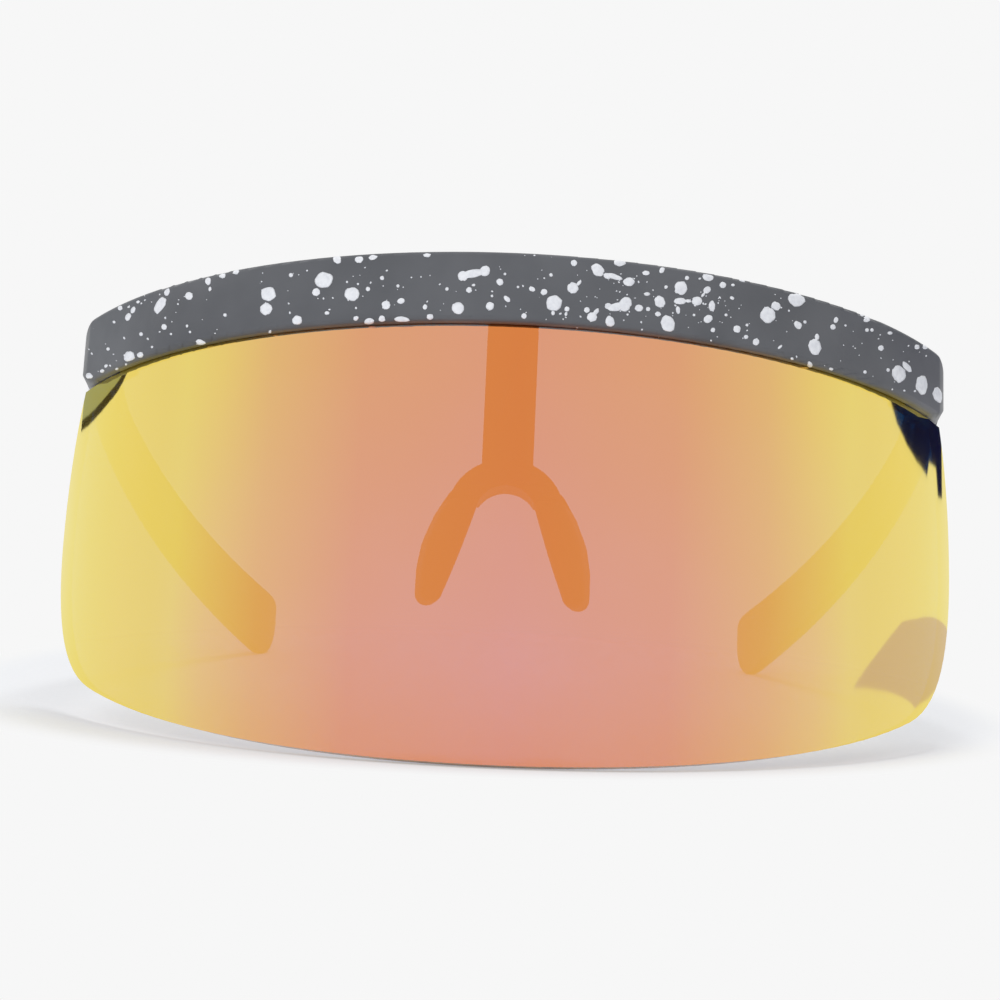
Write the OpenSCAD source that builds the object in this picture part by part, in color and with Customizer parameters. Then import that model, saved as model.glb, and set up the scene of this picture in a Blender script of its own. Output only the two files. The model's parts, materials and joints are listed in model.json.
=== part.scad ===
// Shield sunglasses: one wide curved lens hangs in a groove under a moulded brow bar, a nose
// bridge is screwed behind the bar, and two arms fold on hinges with five knuckles each.
// Everything is drawn as it is worn: X to the viewer's right, Y to the back, Z up, and 0 at
// the middle of the lens's outer bottom edge. on_table() then leans it back until it stands
// on the lens and both arm tips, with the origin under the middle of its box.

/* [Front] */
// Width over the outer ends of the brow bar
front_w = 154.4; // [150:0.2:160]
// Height of the brow bar
bar_h = 11.9; // [11:0.1:14]
// Depth of the brow bar, front to back
bar_t = 5.8; // [5.4:0.1:6.6]
// How far the bar stands out in front of the lens
bar_proud = 2; // [1.6:0.1:2.6]
// Outer radius of the bar's end corner, seen from above
bar_corner_r = 12; // [10:0.5:14]
// Radius that rounds the bar's ends, seen from the front
bar_end_r = 3.7; // [2:0.1:4]
// Radius along the bar's long edges
bar_edge_r = 0.9; // [0.5:0.1:1.4]

/* [Lens] */
// Radius of the lens's outer face, seen from above
lens_curve_r = 86; // [84:0.5:92]
// Height of the lens below the bar, at its middle
lens_drop = 72.1; // [66:0.1:76]
// Thickness of the lens
lens_t = 2; // [1.6:0.1:2.2]
// Radius of the lens's bottom edge, with the lens laid flat
bottom_edge_r = 213; // [190:1:230]
// Radius of the lens's upper end edges, with the lens laid flat
side_edge_r = 58; // [50:1:75]
// How far the lens reaches up into the bar
lens_tab_h = 4.6; // [4.2:0.1:5]

/* [Nose] */
// Width of the bridge's stem
stem_w = 8.3; // [7:0.1:10]
// Thickness of the bridge's stem
stem_t = 2.4; // [2:0.1:3]
// Height of the arch over the nose, above the lens's bottom
arch_z = 46.2; // [44:0.1:49]
// Width between the pads at their top
pad_gap_w = 9.6; // [8:0.1:12]
// Length of a nose pad
pad_l = 20.8; // [17:0.1:22]
// Lean of a nose pad outwards, in degrees
pad_splay = 17; // [12:1:22]

/* [Arms] */
// Distance that an arm reaches behind its joint with the bar
arm_reach = 117.6; // [108:0.1:125]
// Radius of an arm's outer face, seen from above
arm_curve_r = 305; // [260:5:420]
// Thickness of an arm
arm_t = 3.2; // [2.8:0.1:3.6]
// Thickness of an arm and of the bar's end at the hinge
root_t = 4.1; // [3.9:0.1:4.6]
// Height of an arm just behind its hinge
arm_neck_h = 10.7; // [9:0.1:11.5]
// Height of an arm at its tip
arm_tip_h = 14.6; // [12:0.1:16]
// Height of an arm's tip middle above the lens's bottom
arm_tip_z = 55; // [52:0.1:58]

/* [Hinge] */
// Height of the hinge over its five knuckles
hinge_h = 8; // [7:0.1:8.4]
// Outer radius of a knuckle
knuckle_r = 1.5; // [1.4:0.05:1.6]
// Thickness of a hinge leaf
leaf_t = 0.9; // [0.8:0.05:1]
// Length of a hinge leaf from the hinge axis
leaf_l = 8.6; // [8.2:0.1:9]
// Radius of the hinge screw's shank
pivot_r = 0.7; // [0.6:0.05:0.8]

/* [Hidden] */

// Small sizes, fits and gaps
cut = 1;            // how far a cutter runs past the face that it opens
running = 0.05;     // radial clearance of a pin that turns in a bore
slide = 0.12;       // clearance of the lens in its groove, on each side
seat_gap = 0.08;    // clearance round a leaf or a foot in its pocket
knuckle_gap = 0.06; // clearance between neighbouring knuckles
butt_gap = 0.3;     // gap between the bar's end and the arm
shoulder_gap = 0.15; // gap between the bar's underside and the lens's shoulders

// The front's plan: one long arc, a tight corner, a short straight end. A front that is too wide
// for its arc to reach the ends leaves the arc early and goes on straight.
degrees = 180 / PI;
half_w = front_w / 2;
lens_end_inset = 0.7;
lens_end_x = half_w - lens_end_inset;
arc_reach_share = 0.94;
arc_reaches = lens_end_x < lens_curve_r * arc_reach_share;
early_a = 50;       // plan angle at which the arc of such a wide front ends
bar_r = lens_curve_r + bar_proud;
bar_inner_r = bar_r - bar_t;
corner_reach = bar_r - bar_corner_r;
corner_x = half_w - bar_corner_r;
corner_a = arc_reaches ? asin(corner_x / corner_reach) : early_a;
bar_run = arc_reaches ? 0 : (corner_x - corner_reach * sin(corner_a)) / cos(corner_a);
corner_y = lens_curve_r - corner_reach * cos(corner_a) + bar_run * sin(corner_a);
corner_lap = 4;     // degrees that the corner laps its neighbours on each side
end_straight = 3.4;
butt_y = corner_y + end_straight;
bar_z = lens_drop;
bar_mid_z = bar_z + bar_h / 2;

// The lens in its groove
groove_share = 0.9;
groove_a = corner_a * groove_share;
groove_top_gap = 0.4;
groove_h = lens_tab_h + groove_top_gap;
rear_lift = 1.1;    // how much higher the bar ends behind the lens than in front of it
tab_end_gap = 0.3;
tab_a = groove_a - tab_end_gap / lens_curve_r * degrees;
nib_r = 1.1;
nib_fit = 0.15;
nib_z = bar_z + lens_tab_h / 2;
nib_shares = [-0.75, -0.3, 0.3, 0.75];

// The lens's edge, drawn flat: the bottom arc, a corner arc and a side arc, each tangent to the
// next, from the middle of the bottom to the top of one end
end_mid_share = 0.63;
end_mid_z = lens_drop * end_mid_share;
side_a = asin((lens_drop - end_mid_z) / side_edge_r);
arc_a = arc_reaches ? asin(lens_end_x / lens_curve_r) : early_a;
arc_l = lens_curve_r * arc_a / degrees;
lens_run = arc_reaches ? 0 : (lens_end_x - lens_curve_r * sin(arc_a)) / cos(arc_a);
half_l = arc_l + lens_run + side_edge_r * (1 - cos(side_a));
lens_corner_r = (pow(bottom_edge_r, 2) - pow(half_l, 2) - pow(bottom_edge_r - end_mid_z, 2))
    / (2 * (bottom_edge_r - half_l));
turn_a = atan((half_l - lens_corner_r) / (bottom_edge_r - end_mid_z));
trim_w = end_mid_z; // width of the band that trims the blank outside the edge
trim_over = 8;      // how far that band reaches outside the lens's outer face
blank_l = half_l + 2 * cut;
blank_a = arc_reaches ? blank_l / lens_curve_r * degrees : early_a;
bottom_steps = 22;
turn_steps = 14;
side_steps = 8;

// The hinge's axis, and the flat inner face that carries its leaves
hinge_y = butt_y + butt_gap / 2;
inner_x = half_w - root_t;
hinge_x = inner_x + leaf_t - knuckle_r;
relief_gap = 0.3;   // clearance round the knuckles
relief_r = knuckle_r + relief_gap;
knuckle_h = hinge_h / 5;
seat_l = leaf_l + leaf_t;
leaf_screw_r = 0.6;
leaf_head_r = 1.05;
leaf_head_h = 0.5;
leaf_screw_l = 2.6;
leaf_screw_shares = [0.38, 0.74];
pivot_head_r = 1.25;
pivot_head_h = 0.8;
slot_w = 0.3;
slot_d = 0.3;

// The nose bridge: foot, stem, arch and two legs that the pads sleeve
stem_gap = 0.25;    // gap between the bar's inner face and the stem
stem_front_y = lens_curve_r - bar_inner_r + stem_gap;
stem_back_y = stem_front_y + stem_t;
foot_w = 24;
foot_h = 6;
foot_sink = 0.7;
foot_z = bar_z + bar_h - foot_h / 2 - bar_edge_r / 2 - seat_gap;
foot_screw_x = 7.8;
bridge_screw_r = 0.8;
bridge_head_r = 1.5;
bridge_head_h = 0.9;
insert_r = 1.4;
insert_l = 3.1;
insert_back_y = lens_curve_r
    - sqrt(pow(bar_inner_r + foot_sink, 2) - pow(foot_screw_x - insert_r, 2));
arch_r = 5.2;
arch_band = 4.4;
leg_w = 2.2;
leg_t = 3;
leg_l = 12;
leg_sweep = 0.6;    // how far the arch's cut runs behind the legs
leg_back_y = stem_back_y + leg_t + leg_sweep;
pad_r = 2.2;
pad_mid_r = 2.85;
pad_tip_r = 1.9;
pad_bulge = 0.5;    // how far a pad swells outwards at its middle
pad_back = 1;       // how far its middle lies further back, clear of the lens
pad_tip_share = 0.6; // depth of a pad at its tip, of its depth at the top
pad_shares = [0, 0.25, 0.5, 0.75, 1]; // stations down a pad
pad_depth = 5.4;
pad_turn = 14;      // degrees that a pad's face turns towards the back
pad_drop = 1.4;     // how far the pad's top centre lies below the arch
pad_top_z = arch_z - pad_drop;

// The arm: stations run back from the butt face, with more of them round the tip
arm_y = hinge_y + butt_gap / 2;
arm_end_y = arm_y + arm_reach;
arm_root_drop = 1.3;
neck_l = 15;
thin_from = 12;
thin_l = 14;
arm_edge_r = 1.5;
arm_inner_r = 0.9;
root_inner_r = 0.3;
tip_l = 7;
tip_top_l = 3.4;
tip_top_h = 2.4;
tip_thin_share = 0.35;
round_h_share = 0.46; // most of an arm's height that one corner radius may take
outer_t_share = 0.6;  // most of its thickness that an outer corner radius may take
inner_t_share = 0.35; // and an inner one
stations = 26;
tip_turns = [12, 24, 36, 48, 59, 69, 77, 83];
corner_steps = 4;
core_h = 2.4;
core_t = 1;
core_from = 15;
core_to = 14;
core_stations = 14;

function smooth(s) = let (c = min(max(s, 0), 1)) c * c * (3 - 2 * c);
function arm_share(y) = (y - arm_y) / arm_reach;
function arm_line_z(y) = let (start = bar_mid_z - arm_root_drop)
    start + (arm_tip_z - start) * arm_share(y)
    + arm_root_drop * (1 - smooth((y - arm_y) / neck_l));
function arm_h(y) = arm_neck_h + (arm_tip_h - arm_neck_h) * arm_share(y)
    + (bar_h - arm_neck_h) * (1 - smooth((y - arm_y) / neck_l));
function round_off(y, l) = let (s = min(max((y - arm_end_y + l) / l, 0), 1)) 1 - sqrt(1 - s * s);
function arm_top(y) = arm_line_z(y) + arm_h(y) / 2 - tip_top_h * round_off(y, tip_top_l);
function arm_low(y) = arm_line_z(y) - arm_h(y) / 2
    + (arm_tip_h - tip_top_h) * round_off(y, tip_l);
function arm_outer(y) = half_w - arm_curve_r + sqrt(pow(arm_curve_r, 2) - pow(y - arm_y, 2));
function arm_thick(y) = (arm_t + (root_t - arm_t) * (1 - smooth((y - arm_y - thin_from) / thin_l)))
    * (1 - tip_thin_share * round_off(y, tip_l));
arm_ys = concat([for (i = [0:stations]) arm_y + (arm_reach - tip_l) * i / stations],
    [for (a = tip_turns) arm_end_y - tip_l + tip_l * sin(a)]);

// The lean on a table: the floor touches the lens's inner bottom edge and the arms' undersides
lean = atan(min([for (y = arm_ys) if (y > arm_end_y - arm_reach / 2) arm_low(y) / (y - lens_t)]));
arm_back = max([for (y = arm_ys) for (p = arm_ring(y)) p.y * cos(lean) + p.z * sin(lean)]);

// Ring of points round the arm at one station, corner by corner
function arm_ring(y) =
    let (top = arm_top(y), low = arm_low(y), h = top - low, out = arm_outer(y), t = arm_thick(y),
        root = 1 - smooth((y - arm_y) / neck_l),
        ro = min(arm_edge_r + (bar_end_r - arm_edge_r) * root, h * round_h_share,
            t * (outer_t_share + root)),
        ri = min(arm_inner_r + (root_inner_r - arm_inner_r) * root, h * round_h_share,
            t * inner_t_share))
    concat(
        [for (i = [0:corner_steps]) let (a = 90 * i / corner_steps)
            [out - ro + ro * cos(a), y, top - ro + ro * sin(a)]],
        [for (i = [0:corner_steps]) let (a = 90 + 90 * i / corner_steps)
            [out - t + ri + ri * cos(a), y, top - ri + ri * sin(a)]],
        [for (i = [0:corner_steps]) let (a = 180 + 90 * i / corner_steps)
            [out - t + ri + ri * cos(a), y, low + ri + ri * sin(a)]],
        [for (i = [0:corner_steps]) let (a = 270 + 90 * i / corner_steps)
            [out - ro + ro * cos(a), y, low + ro + ro * sin(a)]]);

// A solid through rings that all have the same number of points
module loft(rings) {
    n = len(rings[0]);
    m = len(rings);
    polyhedron(points = [for (r = rings) each r], faces = concat(
        [[for (j = [n - 1:-1:0]) j]], [[for (j = [0:n - 1]) (m - 1) * n + j]],
        [for (i = [0:m - 2]) for (j = [0:n - 1])
            [i * n + j, i * n + (j + 1) % n, (i + 1) * n + (j + 1) % n, (i + 1) * n + j]]));
}

// The finished glasses as they stand, and the viewer's left side as a mirror of the right
module on_table() {
    translate([0, -arm_back / 2, lens_t * sin(lean)]) rotate([-lean, 0, 0]) children();
}

module left_side() {
    mirror([1, 0, 0]) children();
}

module round_rect(w, h, r) {
    translate([r, 0]) square([w - 2 * r, h]);
    translate([0, r]) square([w, h - 2 * r]);
    for (x = [r, w - r], z = [r, h - r]) translate([x, z]) circle(r = r, $fn = 32);
}

// Part of a ring about the lens's upright axis, from outline children in radius and height
module front_arc(half_a, z) {
    translate([0, lens_curve_r, z]) rotate([0, 0, -90 - half_a])
        rotate_extrude(angle = 2 * half_a, $fn = 240) children();
}

module along_y(l) {
    rotate([90, 0, 0]) translate([0, 0, -l]) linear_extrude(l) children();
}

module along_x(l) {
    rotate([90, 0, 90]) linear_extrude(l) children();
}

// Places children on the lens's axis at a plan angle, with their X axis pointing outwards
module at_angle(a, z) {
    translate([0, lens_curve_r, z]) rotate([0, 0, a - 90]) children();
}

// One half of the bar's end: the corner, then the straight part that ends at the arm
module bar_end_solid() {
    translate([corner_x, corner_y, bar_z]) {
        rotate([0, 0, corner_a - 90 - corner_lap])
            rotate_extrude(angle = 90 - corner_a + 2 * corner_lap, $fn = 120)
                translate([bar_corner_r - bar_t, 0]) round_rect(bar_t, bar_h, bar_edge_r);
        translate([bar_corner_r - bar_t, 0, 0]) along_y(end_straight)
            round_rect(bar_t, bar_h, bar_edge_r);
    }
    if (bar_run > 0) at_angle(corner_a, bar_z) translate([bar_inner_r, -cut, 0])
        along_y(bar_run + 2 * cut) round_rect(bar_t, bar_h, bar_edge_r);
}

// Takes the square corners off the bar's ends, seen from the front
module end_corner_cut() {
    for (up = [0, 1]) translate([0, 0, bar_mid_z]) mirror([0, 0, up])
        translate([half_w - bar_end_r, 0, bar_h / 2 - bar_end_r]) along_y(butt_y + cut)
            difference() {
                square(bar_end_r + cut);
                circle(r = bar_end_r, $fn = 48);
            }
}

// The leaf's outline and its screws, in the plane of the hinge's inner face
module leaf_outline(grow) {
    hinge_round = hinge_h / 2;
    translate([relief_r, -hinge_round - grow])
        square([leaf_l - hinge_round - relief_r, hinge_h + 2 * grow]);
    intersection() {
        translate([leaf_l - hinge_round, 0]) circle(r = hinge_round + grow, $fn = 48);
        translate([relief_r, -hinge_h]) square([leaf_l, 2 * hinge_h]);
    }
}

// The leaf's pocket runs on to the butt face, so that the knuckles' webs pass
module leaf_pocket(dir) {
    translate([inner_x - cut, hinge_y, bar_mid_z]) mirror([0, dir < 0 ? 1 : 0, 0])
        along_x(leaf_t + cut) {
            leaf_outline(seat_gap);
            translate([0, -hinge_h / 2 - seat_gap]) square([relief_r + cut, hinge_h + 2 * seat_gap]);
        }
    for (s = leaf_screw_shares)
        translate([inner_x, hinge_y + dir * leaf_l * s, bar_mid_z]) rotate([0, 90, 0])
            cylinder(r = leaf_screw_r, h = leaf_t + leaf_screw_l, $fn = 24);
}

module hinge_relief() {
    translate([hinge_x, hinge_y, bar_z - cut])
        cylinder(r = relief_r, h = bar_h + 2 * cut, $fn = 48);
}

module end_details() {
    translate([inner_x - bar_t, butt_y - seat_l, bar_z - cut])
        cube([bar_t, seat_l + cut, bar_h + 2 * cut]);
    leaf_pocket(-1);
    hinge_relief();
    end_corner_cut();
}

module foot_ring(inner_r, outer_r, w, h) {
    intersection() {
        front_arc(corner_a, foot_z - h / 2) translate([inner_r, 0]) square([outer_r - inner_r, h]);
        translate([-w / 2, 0, foot_z - h / 2]) cube([w, bar_r, h]);
    }
}

module brow_bar() color("#6b6d71") on_table() {
    difference() {
        union() {
            front_arc(corner_a, bar_z) translate([bar_inner_r, 0])
                round_rect(bar_t, bar_h, bar_edge_r);
            bar_end_solid();
            left_side() bar_end_solid();
        }
        end_details();
        left_side() end_details();
        front_arc(groove_a, bar_z - cut)
            translate([lens_curve_r - lens_t - slide, 0])
                square([lens_t + 2 * slide, groove_h + cut]);
        front_arc(groove_a, bar_z - cut) translate([bar_inner_r - cut, 0])
            square([lens_curve_r - lens_t - bar_inner_r + cut, rear_lift + cut]);
        foot_ring(bar_inner_r - cut, bar_inner_r + foot_sink, foot_w + 2 * seat_gap,
            foot_h + 2 * seat_gap);
        for (x = [-foot_screw_x, foot_screw_x])
            translate([x, insert_back_y + cut, foot_z]) rotate([90, 0, 0])
                cylinder(r = insert_r, h = insert_l + cut, $fn = 32);
    }
    for (s = nib_shares) at_angle(groove_a * s, nib_z)
        translate([lens_curve_r - lens_t - 2 * slide, 0, 0]) rotate([0, 90, 0])
            cylinder(r = nib_r, h = lens_t + slide, $fn = 32);
}

// What is cut away beside the tab that reaches up into the bar's groove
module tab_trim() {
    reach = lens_curve_r + cut;
    at_angle(tab_a, bar_z - shoulder_gap) cube([reach, reach, lens_tab_h + shoulder_gap + cut]);
}

// Points of the lens's flat edge on its right half, each with its outward direction in degrees
right_edge = concat(
    [for (i = [0:bottom_steps - 1]) let (a = turn_a * i / bottom_steps)
        [bottom_edge_r * sin(a), bottom_edge_r * (1 - cos(a)), a - 90]],
    [for (i = [0:turn_steps - 1]) let (a = turn_a - 90 + (90 - turn_a) * i / turn_steps)
        [half_l - lens_corner_r + lens_corner_r * cos(a), end_mid_z + lens_corner_r * sin(a), a]],
    [for (i = [0:side_steps]) let (a = side_a * i / side_steps)
        [half_l - side_edge_r + side_edge_r * cos(a), end_mid_z + side_edge_r * sin(a), a]]);
flat_edge = concat(
    [for (i = [len(right_edge) - 1:-1:1]) let (p = right_edge[i]) [-p.x, p.y, 180 - p.z]],
    right_edge);

// Bends a point of the flat drawing round the lens's axis, at one radius
function bent(r, u, z) =
    let (way = abs(u), on = arc_reaches ? 0 : max(way - arc_l, 0),
        a = (way - on) / lens_curve_r * degrees)
    [sign(u) * (r * sin(a) + on * cos(a)), lens_curve_r - r * cos(a) + on * sin(a), z];

// The band outside the lens's edge, square to its faces, that trims the blank
module edge_trim() {
    inner = lens_curve_r - lens_t - cut;
    outer = lens_curve_r + trim_over;
    loft([for (p = flat_edge) let (u = p.x + trim_w * cos(p.z), z = p.y + trim_w * sin(p.z))
        [bent(inner, u, z), bent(outer, u, z), bent(outer, p.x, p.y), bent(inner, p.x, p.y)]]);
}

// The lens's straight ends, which only a front too wide for its arc has
module blank_run() {
    if (lens_run > 0) at_angle(blank_a, -cut) translate([lens_curve_r - lens_t, -cut, 0])
        cube([lens_t, blank_l - arc_l + cut, bar_z + lens_tab_h + cut]);
}

module shield_lens() color("#dc9f7c", 0.75) on_table() difference() {
    union() {
        front_arc(blank_a, -cut) translate([lens_curve_r - lens_t, 0])
            square([lens_t, bar_z + lens_tab_h + cut]);
        blank_run();
        left_side() blank_run();
    }
    tab_trim();
    left_side() tab_trim();
    edge_trim();
    for (s = nib_shares) at_angle(groove_a * s, nib_z)
        translate([lens_curve_r - lens_t - cut, 0, 0]) rotate([0, 90, 0])
            cylinder(r = nib_r + nib_fit, h = lens_t + 2 * cut, $fn = 32);
}

// A leg's place: it hangs from the arch, leans outwards and carries one pad
module at_leg() {
    translate([pad_gap_w / 2 + pad_r, stem_back_y + leg_t / 2, pad_top_z])
        rotate([0, -pad_splay, 0]) children();
}

module leg() {
    at_leg() translate([-leg_w / 2, -leg_t / 2, -leg_l])
        cube([leg_w, leg_t, leg_l + arch_band / 2]);
}

// The arch seen from the front: a band round the nose with feet that meet the legs
module arch_outline() {
    spread = pad_gap_w / 2 + pad_r;
    difference() {
        union() {
            translate([0, arch_z - arch_r]) circle(r = arch_r + arch_band, $fn = 64);
            translate([-stem_w / 2, arch_z]) square([stem_w, arch_band + stem_w / 4]);
        }
        translate([0, arch_z - arch_r]) circle(r = arch_r, $fn = 64);
        translate([-spread - pad_r - cut, -cut])
            square([2 * (spread + pad_r + cut), pad_top_z - leg_w / 2 + cut]);
    }
}

module nose_bridge() color("#4c4e52") on_table() difference() {
    union() {
        translate([-stem_w / 2, stem_front_y, arch_z])
            cube([stem_w, stem_t, foot_z + foot_h / 2 - arch_z]);
        foot_ring(lens_curve_r - stem_back_y, bar_inner_r + foot_sink, foot_w, foot_h);
        intersection() {
            translate([0, stem_front_y, 0]) along_y(leg_back_y) arch_outline();
            translate([-foot_w, 0, 0]) along_x(2 * foot_w) bridge_side();
        }
        leg();
        left_side() leg();
    }
    for (x = [-foot_screw_x, foot_screw_x]) translate([x, 0, foot_z]) rotate([-90, 0, 0]) {
        cylinder(r = bridge_screw_r + running, h = lens_curve_r, $fn = 32);
        translate([0, 0, stem_back_y - bridge_head_h])
            cylinder(r = bridge_head_r + seat_gap, h = lens_curve_r, $fn = 32);
    }
}

// The bridge seen from the side: flat behind the lens, then swept back to the legs
module bridge_side() {
    polygon([[stem_front_y, arch_z + arch_band + stem_w / 4],
        [stem_front_y, arch_z],
        [stem_front_y + stem_t / 2, pad_top_z - leg_w],
        [stem_back_y + leg_t, pad_top_z - leg_w],
        [stem_back_y + leg_t, arch_z],
        [stem_back_y, arch_z + arch_band + stem_w / 4]]);
}

// A soft pad: a slim cushion that leans with the leg and turns its face to the nose
module nose_pad_right() color("#3c3d40") on_table() nose_pad();
module nose_pad_left() color("#3c3d40") on_table() left_side() nose_pad();

function pad_swell(s) = sin(180 * s);
function pad_thick(s) = let (even = pad_r + (pad_tip_r - pad_r) * s)
    even + (pad_mid_r - (pad_r + pad_tip_r) / 2) * pad_swell(s);

module nose_pad() {
    difference() {
        at_leg() rotate([0, 0, -pad_turn]) hull() {
            for (s = pad_shares, y = [-pad_depth / 2, pad_depth / 2])
                translate([pad_bulge * pad_swell(s),
                    y * (1 - (1 - pad_tip_share) * s * s) + pad_back * pad_swell(s),
                    (pad_r + pad_tip_r - pad_l) * s])
                    sphere(r = pad_thick(s), $fn = 20);
        }
        leg();
        translate([-foot_w, 0, pad_top_z - leg_w / 2]) cube([2 * foot_w, leg_back_y, foot_h]);
    }
}

module bridge_screws() color("#b9bcc0") on_table()
    for (x = [-foot_screw_x, foot_screw_x])
        translate([x, stem_back_y - bridge_head_h, foot_z]) rotate([-90, 0, 0]) difference() {
            union() {
                cylinder(r = bridge_head_r, h = bridge_head_h - seat_gap, $fn = 32);
                translate([0, 0, insert_back_y - insert_l + bridge_head_h - stem_back_y])
                    cylinder(r = bridge_screw_r, $fn = 32,
                        h = stem_back_y - bridge_head_h - insert_back_y + insert_l);
            }
            translate([-bridge_head_r, -slot_w / 2, bridge_head_h - seat_gap - slot_d])
                cube([2 * bridge_head_r, slot_w, slot_d + cut]);
        }

module bridge_inserts() color("#c9a14a") on_table()
    for (x = [-foot_screw_x, foot_screw_x])
        translate([x, insert_back_y, foot_z]) rotate([90, 0, 0]) difference() {
            cylinder(r = insert_r, h = insert_l, $fn = 32);
            translate([0, 0, -cut]) cylinder(r = bridge_screw_r, h = insert_l + 2 * cut, $fn = 32);
        }

// One leaf with its knuckles; dir is -1 for the bar's leaf and 1 for the arm's
module hinge_leaf(dir, slots) {
    bore = dir < 0 ? pivot_r : pivot_r + running;
    translate([hinge_x, hinge_y, bar_mid_z - hinge_h / 2]) difference() {
        union() {
            for (k = slots) {
                low = k * knuckle_h + knuckle_gap / 2;
                translate([0, 0, low]) cylinder(r = knuckle_r, h = knuckle_h - knuckle_gap, $fn = 48);
                translate([knuckle_r - leaf_t, dir < 0 ? -relief_r : 0, low])
                    cube([leaf_t, relief_r, knuckle_h - knuckle_gap]);
            }
            translate([knuckle_r - leaf_t, 0, hinge_h / 2]) mirror([0, dir < 0 ? 1 : 0, 0])
                along_x(leaf_t) leaf_outline(0);
        }
        for (k = slots) translate([0, 0, k * knuckle_h - knuckle_gap])
            cylinder(r = dir < 0 && k > 0 ? pivot_r + running : bore,
                h = knuckle_h + 2 * knuckle_gap, $fn = 32);
        for (s = leaf_screw_shares)
            translate([knuckle_r - leaf_t, dir * leaf_l * s, hinge_h / 2]) rotate([0, 90, 0]) {
                translate([0, 0, -cut]) cylinder(r = leaf_head_r + running, h = leaf_head_h + cut, $fn = 32);
                cylinder(r = leaf_screw_r + running, h = leaf_t + cut, $fn = 32);
            }
    }
}

module leaf_screws(dir) {
    for (s = leaf_screw_shares)
        translate([inner_x, hinge_y + dir * leaf_l * s, bar_mid_z]) rotate([0, 90, 0]) difference() {
            union() {
                cylinder(r = leaf_head_r, h = leaf_head_h, $fn = 32);
                cylinder(r = leaf_screw_r, h = leaf_t + leaf_screw_l, $fn = 24);
            }
            translate([-leaf_head_r, -slot_w / 2, -cut]) cube([2 * leaf_head_r, slot_w, cut + slot_d]);
        }
}

module pivot_screw() {
    translate([hinge_x, hinge_y, bar_mid_z - hinge_h / 2]) difference() {
        union() {
            cylinder(r = pivot_r, h = hinge_h, $fn = 32);
            translate([0, 0, hinge_h]) cylinder(r = pivot_head_r, h = pivot_head_h, $fn = 32);
        }
        translate([-pivot_head_r, -slot_w / 2, hinge_h + pivot_head_h - slot_d])
            cube([2 * pivot_head_r, slot_w, slot_d + cut]);
    }
}

front_slots = [0, 2, 4];
arm_slots = [1, 3];

module front_hinge_right() color("#a9acb0") on_table() hinge_leaf(-1, front_slots);
module front_hinge_left() color("#a9acb0") on_table() left_side() hinge_leaf(-1, front_slots);
module temple_hinge_right() color("#b4b7bb") on_table() hinge_leaf(1, arm_slots);
module temple_hinge_left() color("#b4b7bb") on_table() left_side() hinge_leaf(1, arm_slots);
module hinge_screw_right() color("#c6c9cd") on_table() pivot_screw();
module hinge_screw_left() color("#c6c9cd") on_table() left_side() pivot_screw();
module front_hinge_screws_right() color("#c6c9cd") on_table() leaf_screws(-1);
module front_hinge_screws_left() color("#c6c9cd") on_table() left_side() leaf_screws(-1);
module temple_hinge_screws_right() color("#c6c9cd") on_table() leaf_screws(1);
module temple_hinge_screws_left() color("#c6c9cd") on_table() left_side() leaf_screws(1);

// The stiffening wire in the arm's middle, as rings of four points
core_ys = [for (i = [0:core_stations])
    arm_y + core_from + (arm_reach - core_from - core_to) * i / core_stations];

module core() {
    loft([for (y = core_ys) let (x = arm_outer(y) - arm_t / 2, z = arm_line_z(y))
        [for (c = [[1, 1], [-1, 1], [-1, -1], [1, -1]])
            [x + c.x * core_t / 2, y, z + c.y * core_h / 2]]]);
}

module arm() {
    difference() {
        loft([for (y = arm_ys) arm_ring(y)]);
        leaf_pocket(1);
        hinge_relief();
        core();
    }
}

module temple_right() color("#6b6d71") on_table() arm();
module temple_left() color("#6b6d71") on_table() left_side() arm();
module temple_core_right() color("#9a9da1") on_table() core();
module temple_core_left() color("#9a9da1") on_table() left_side() core();

brow_bar();
shield_lens();
nose_bridge();
nose_pad_left();
nose_pad_right();
bridge_screws();
bridge_inserts();
front_hinge_left();
front_hinge_right();
temple_hinge_left();
temple_hinge_right();
hinge_screw_left();
hinge_screw_right();
front_hinge_screws_left();
front_hinge_screws_right();
temple_hinge_screws_left();
temple_hinge_screws_right();
temple_left();
temple_right();
temple_core_left();
temple_core_right();
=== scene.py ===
import json
import math
import random

import bmesh
import bpy
from mathutils import Matrix, Vector, noise
from mathutils.bvhtree import BVHTree


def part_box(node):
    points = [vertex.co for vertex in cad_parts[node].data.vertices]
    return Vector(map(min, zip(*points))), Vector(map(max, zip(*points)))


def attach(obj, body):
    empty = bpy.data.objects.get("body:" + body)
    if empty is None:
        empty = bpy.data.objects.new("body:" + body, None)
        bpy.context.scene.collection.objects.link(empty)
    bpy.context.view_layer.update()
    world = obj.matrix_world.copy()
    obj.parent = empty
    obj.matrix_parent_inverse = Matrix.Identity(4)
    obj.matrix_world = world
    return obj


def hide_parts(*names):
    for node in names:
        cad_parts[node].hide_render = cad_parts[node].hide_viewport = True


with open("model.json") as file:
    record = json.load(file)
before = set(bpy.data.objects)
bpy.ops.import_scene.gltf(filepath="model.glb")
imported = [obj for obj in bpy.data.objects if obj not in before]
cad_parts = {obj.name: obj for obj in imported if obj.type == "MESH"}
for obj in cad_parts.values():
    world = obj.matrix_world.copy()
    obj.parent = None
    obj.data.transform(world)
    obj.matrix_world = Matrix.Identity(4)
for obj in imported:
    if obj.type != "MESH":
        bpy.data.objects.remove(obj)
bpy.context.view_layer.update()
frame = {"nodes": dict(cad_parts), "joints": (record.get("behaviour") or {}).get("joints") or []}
nodes = frame["nodes"]
scene = bpy.context.scene
scene.view_settings.view_transform = "Standard"
print("frame loaded:", len(nodes), "nodes")

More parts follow.
